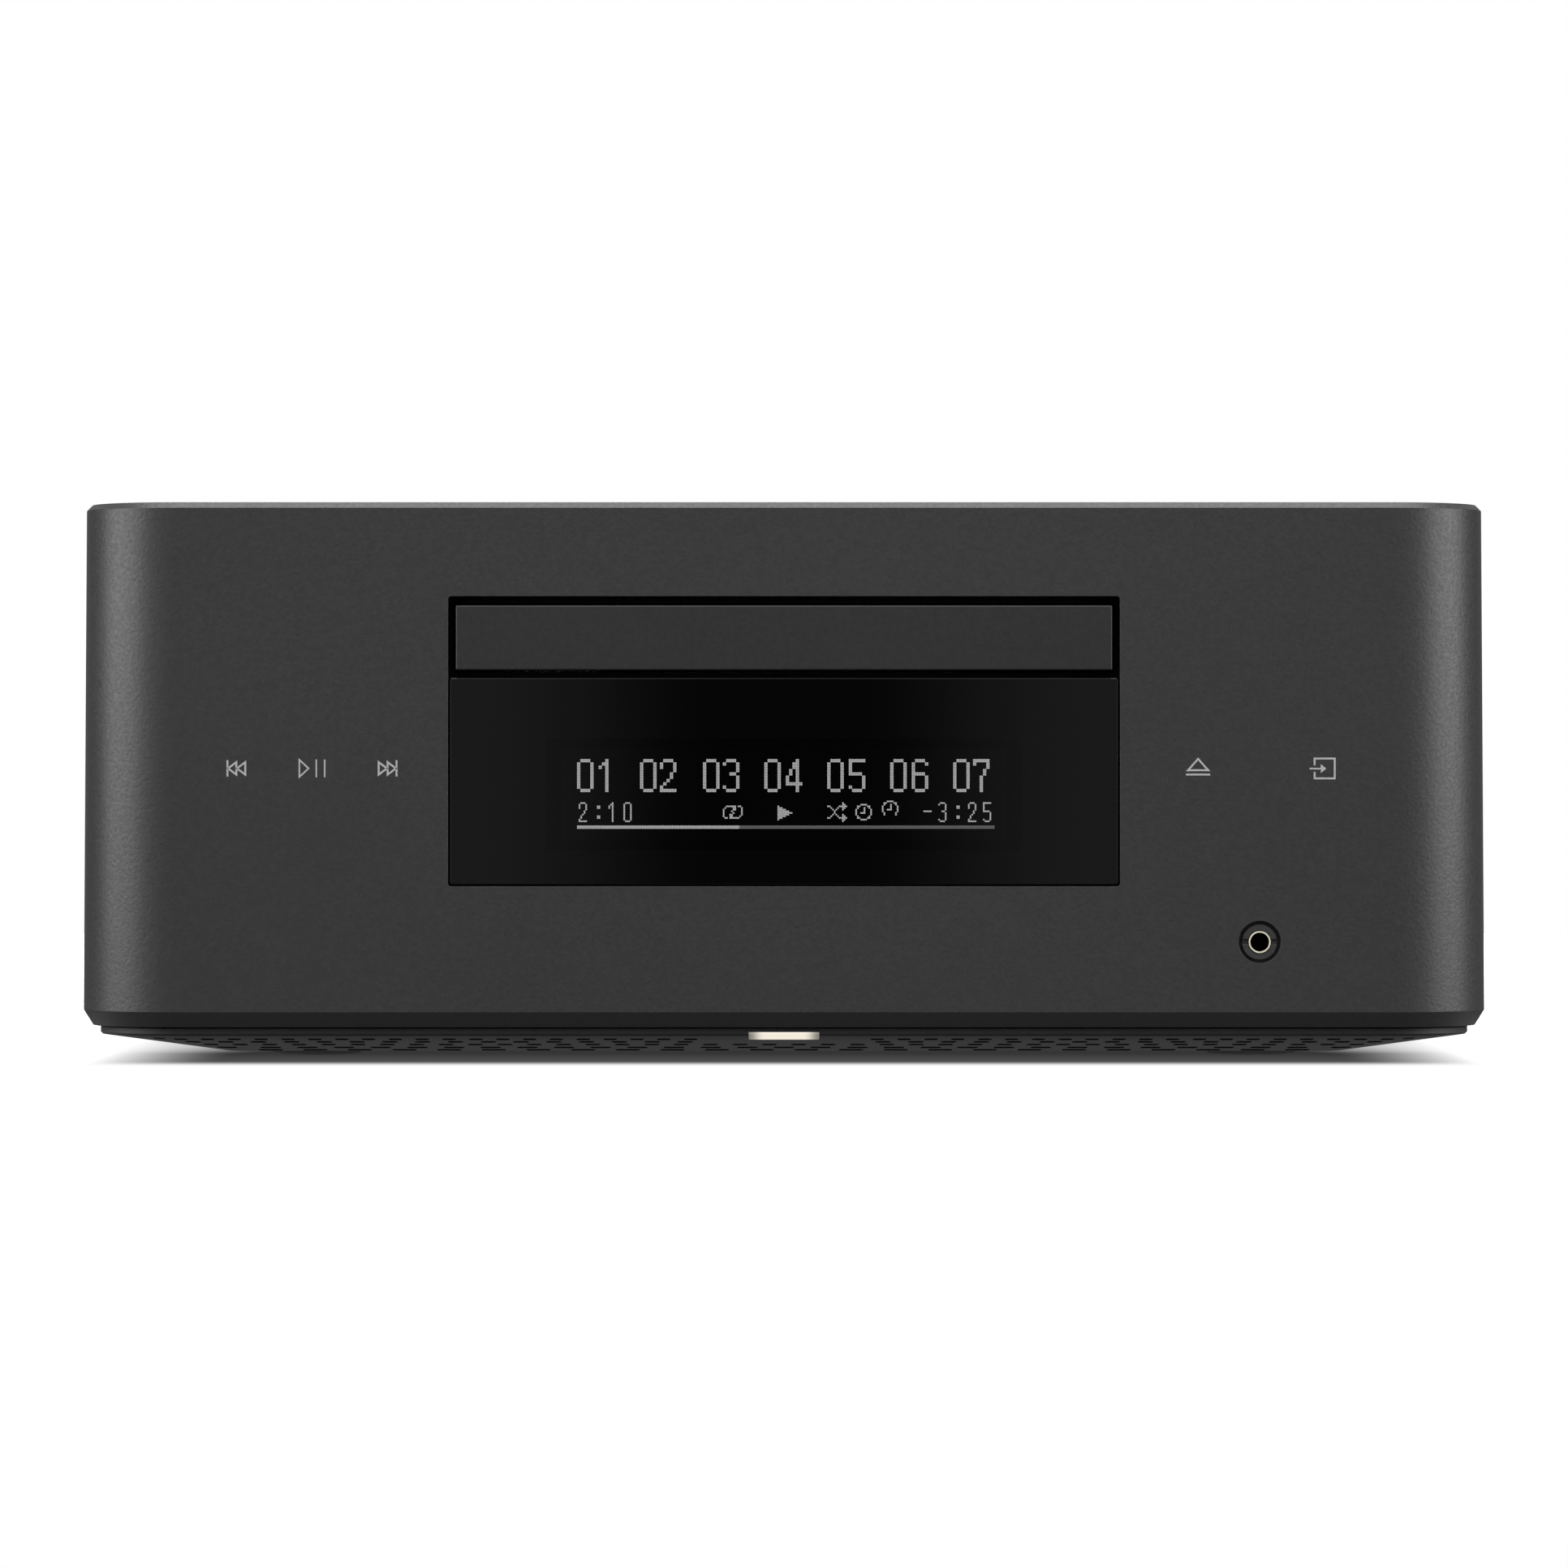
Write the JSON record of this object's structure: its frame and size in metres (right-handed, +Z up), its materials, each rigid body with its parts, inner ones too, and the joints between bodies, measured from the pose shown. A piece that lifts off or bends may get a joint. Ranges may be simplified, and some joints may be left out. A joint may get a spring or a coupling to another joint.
{
  "type": "cd receiver",
  "caption": "Table-top disc receiver: satin black case with rounded front corners, motor tray over a gloss display window, slotted base, rear sockets and folding aerials.",
  "frame": {"origin": "on the floor under the middle of the whole receiver, its rear sockets included", "axes": "+Z up, the front faces -Y, +X to the right seen from the front"},
  "size_m": [0.2808, 0.303, 0.1108],
  "materials": {
    "case_black": "satin painted, fine grain",
    "gloss_black": "polished acrylic",
    "window_black": "smoked acrylic",
    "rear_steel": "powder coated",
    "pan_black": "satin moulded",
    "foot_rubber": "matt",
    "light_lens": "frosted clear, lit",
    "screw_steel": "plated",
    "zinc_steel": "zinc plated sheet",
    "bay_black": "moulded",
    "display_glass": "display glass",
    "circuit_board": "solder mask",
    "power_board": "phenolic board",
    "socket_brass": "nickel over brass, black body",
    "nut_black": "black plated",
    "damper_rubber": "soft",
    "belt_rubber": "ground",
    "puck_white": "moulded",
    "gear_white": "acetal",
    "motor_steel": "drawn can",
    "tray_black": "fine grain moulded",
    "sled_alloy": "die cast",
    "lens_glass": "coated",
    "heatsink_alloy": "extruded",
    "ferrite": "ferrite with yellow tape",
    "capacitor_sleeve": "printed sleeve, bare",
    "ribbon_white": "flat cable",
    "post_brass": "gold flashed",
    "cap_red": "translucent moulded",
    "cap_black": "moulded",
    "shield_steel": "tinned",
    "aerial_black": "moulded"
  },
  "bodies": {
    "case": {"front_panel": "case_black", "case_cover": "case_black", "top_plate": "gloss_black", "rear_panel": "rear_steel", "base_pan": "pan_black", "feet": "foot_rubber", "light_bar": "light_lens", "case_screws": "screw_steel", "chassis_plate": "zinc_steel", "bay_frame": "bay_black", "display_window": "window_black", "display_module": "display_glass", "front_board": "circuit_board", "touch_boards": "circuit_board", "headphone_socket": "socket_brass", "headphone_nut": "nut_black", "mech_bracket": "zinc_steel", "loader_dampers": "damper_rubber", "loader_frame": "bay_black", "clamp_bridge": "zinc_steel", "loading_motor": "motor_steel", "drive_belt": "belt_rubber", "main_board": "circuit_board", "amp_heatsink": "heatsink_alloy", "power_board": "power_board", "transformer": "ferrite", "capacitors": "capacitor_sleeve", "network_module": "circuit_board", "ribbon_cable": "ribbon_white", "terminal_block": "bay_black", "terminal_posts": "post_brass", "phono_sockets": "post_brass", "network_socket": "shield_steel", "usb_socket": "shield_steel", "optical_socket": "bay_black", "fm_socket": "post_brass", "power_inlet": "bay_black"},
    "tray_unit": {"tray": "tray_black", "tray_cover": "case_black"},
    "tray_gear_wheel": {"tray_gear": "gear_white"},
    "pulley_gear_wheel": {"pulley_gear": "gear_white"},
    "motor_pulley_wheel": {"motor_pulley": "puck_white"},
    "lift_cam": {"lift_slider": "gear_white"},
    "traverse": {"traverse_plate": "tray_black", "spindle_motor": "motor_steel", "guide_rods": "screw_steel", "sled_motor": "motor_steel"},
    "spindle": {"turntable": "puck_white"},
    "clamp": {"clamp_puck": "puck_white"},
    "sled": {"pickup_sled": "sled_alloy", "pickup_lens": "lens_glass"},
    "screw": {"sled_screw": "gear_white"},
    "cap_1": {"terminal_cap_1": "cap_red"},
    "cap_2": {"terminal_cap_2": "cap_black"},
    "cap_3": {"terminal_cap_3": "cap_black"},
    "cap_4": {"terminal_cap_4": "cap_red"},
    "knuckle_left": {"aerial_knuckle_left": "aerial_black"},
    "knuckle_right": {"aerial_knuckle_right": "aerial_black"},
    "aerial_left": {"aerial_rod_left": "aerial_black"},
    "aerial_right": {"aerial_rod_right": "aerial_black"}
  },
  "joints": [
    {"name": "tray_slide", "type": "slide", "parent": "case", "child": "tray_unit", "axis": [0, -1, 0], "range_m": [0, 0.142]},
    {"name": "tray_gear_spin", "type": "hinge", "parent": "case", "child": "tray_gear_wheel", "pos_m": [-0.047, -0.122, 0.0725], "axis": [0, 0, 1], "range_deg": [0, 904.46]},
    {"name": "pulley_gear_spin", "type": "hinge", "parent": "case", "child": "pulley_gear_wheel", "pos_m": [-0.031, -0.122, 0.0725], "axis": [0, 0, 1], "range_deg": [-1679.71, 0]},
    {"name": "motor_pulley_spin", "type": "hinge", "parent": "case", "child": "motor_pulley_wheel", "pos_m": [0, -0.122, 0.0725], "axis": [0, 0, 1], "range_deg": [-4993.7, 0]},
    {"name": "traverse_lift", "type": "hinge", "parent": "case", "child": "traverse", "pos_m": [0, -0.004, 0.0705], "axis": [1, 0, 0], "range_deg": [0, 5.46]},
    {"name": "lift_slide", "type": "slide", "parent": "case", "child": "lift_cam", "axis": [1, 0, 0], "range_m": [0, 0.02001]},
    {"name": "turntable_spin", "type": "hinge", "parent": "traverse", "child": "spindle", "pos_m": [0, -0.083, 0.085], "axis": [0, 0, 1], "continuous": true},
    {"name": "clamp_spin", "type": "hinge", "parent": "case", "child": "clamp", "pos_m": [0, -0.083, 0.085], "axis": [0, 0, 1], "continuous": true},
    {"name": "sled_slide", "type": "slide", "parent": "traverse", "child": "sled", "axis": [0, 1, 0], "range_m": [0, 0.035]},
    {"name": "sled_screw_spin", "type": "hinge", "parent": "traverse", "child": "screw", "pos_m": [-0.0276, -0.083, 0.0705], "axis": [0, 1, 0], "range_deg": [-4202.11, 0]},
    {"name": "cap_1_spin", "type": "hinge", "parent": "case", "child": "cap_1", "pos_m": [-0.062, 0.1385, 0.031], "axis": [0, 1, 0], "continuous": true},
    {"name": "cap_2_spin", "type": "hinge", "parent": "case", "child": "cap_2", "pos_m": [-0.044, 0.1385, 0.031], "axis": [0, 1, 0], "continuous": true},
    {"name": "cap_3_spin", "type": "hinge", "parent": "case", "child": "cap_3", "pos_m": [-0.026, 0.1385, 0.031], "axis": [0, 1, 0], "continuous": true},
    {"name": "cap_4_spin", "type": "hinge", "parent": "case", "child": "cap_4", "pos_m": [-0.008, 0.1385, 0.031], "axis": [0, 1, 0], "continuous": true},
    {"name": "aerial_swivel_left", "type": "hinge", "parent": "case", "child": "knuckle_left", "pos_m": [-0.1295, 0.1375, 0.093], "axis": [0, 1, 0], "range_deg": [0, 180]},
    {"name": "aerial_tilt_left", "type": "hinge", "parent": "knuckle_left", "child": "aerial_left", "pos_m": [-0.1295, 0.145, 0.093], "axis": [1, 0, 0], "range_deg": [0, 90]},
    {"name": "aerial_swivel_right", "type": "hinge", "parent": "case", "child": "knuckle_right", "pos_m": [0.1295, 0.1375, 0.093], "axis": [0, -1, 0], "range_deg": [0, 180]},
    {"name": "aerial_tilt_right", "type": "hinge", "parent": "knuckle_right", "child": "aerial_right", "pos_m": [0.1295, 0.145, 0.093], "axis": [1, 0, 0], "range_deg": [0, 90]}
  ],
  "couplings": [
    {"joint": "tray_gear_spin", "follows": "tray_slide", "rad_per_m": 111.11},
    {"joint": "pulley_gear_spin", "follows": "tray_slide", "rad_per_m": -206.35},
    {"joint": "motor_pulley_spin", "follows": "tray_slide", "rad_per_m": -613.47},
    {"joint": "lift_slide", "follows": "traverse_lift", "m_per_rad": 0.21008},
    {"joint": "clamp_spin", "follows": "turntable_spin", "ratio": 1},
    {"joint": "sled_screw_spin", "follows": "sled_slide", "rad_per_m": -2094.4}
  ]
}
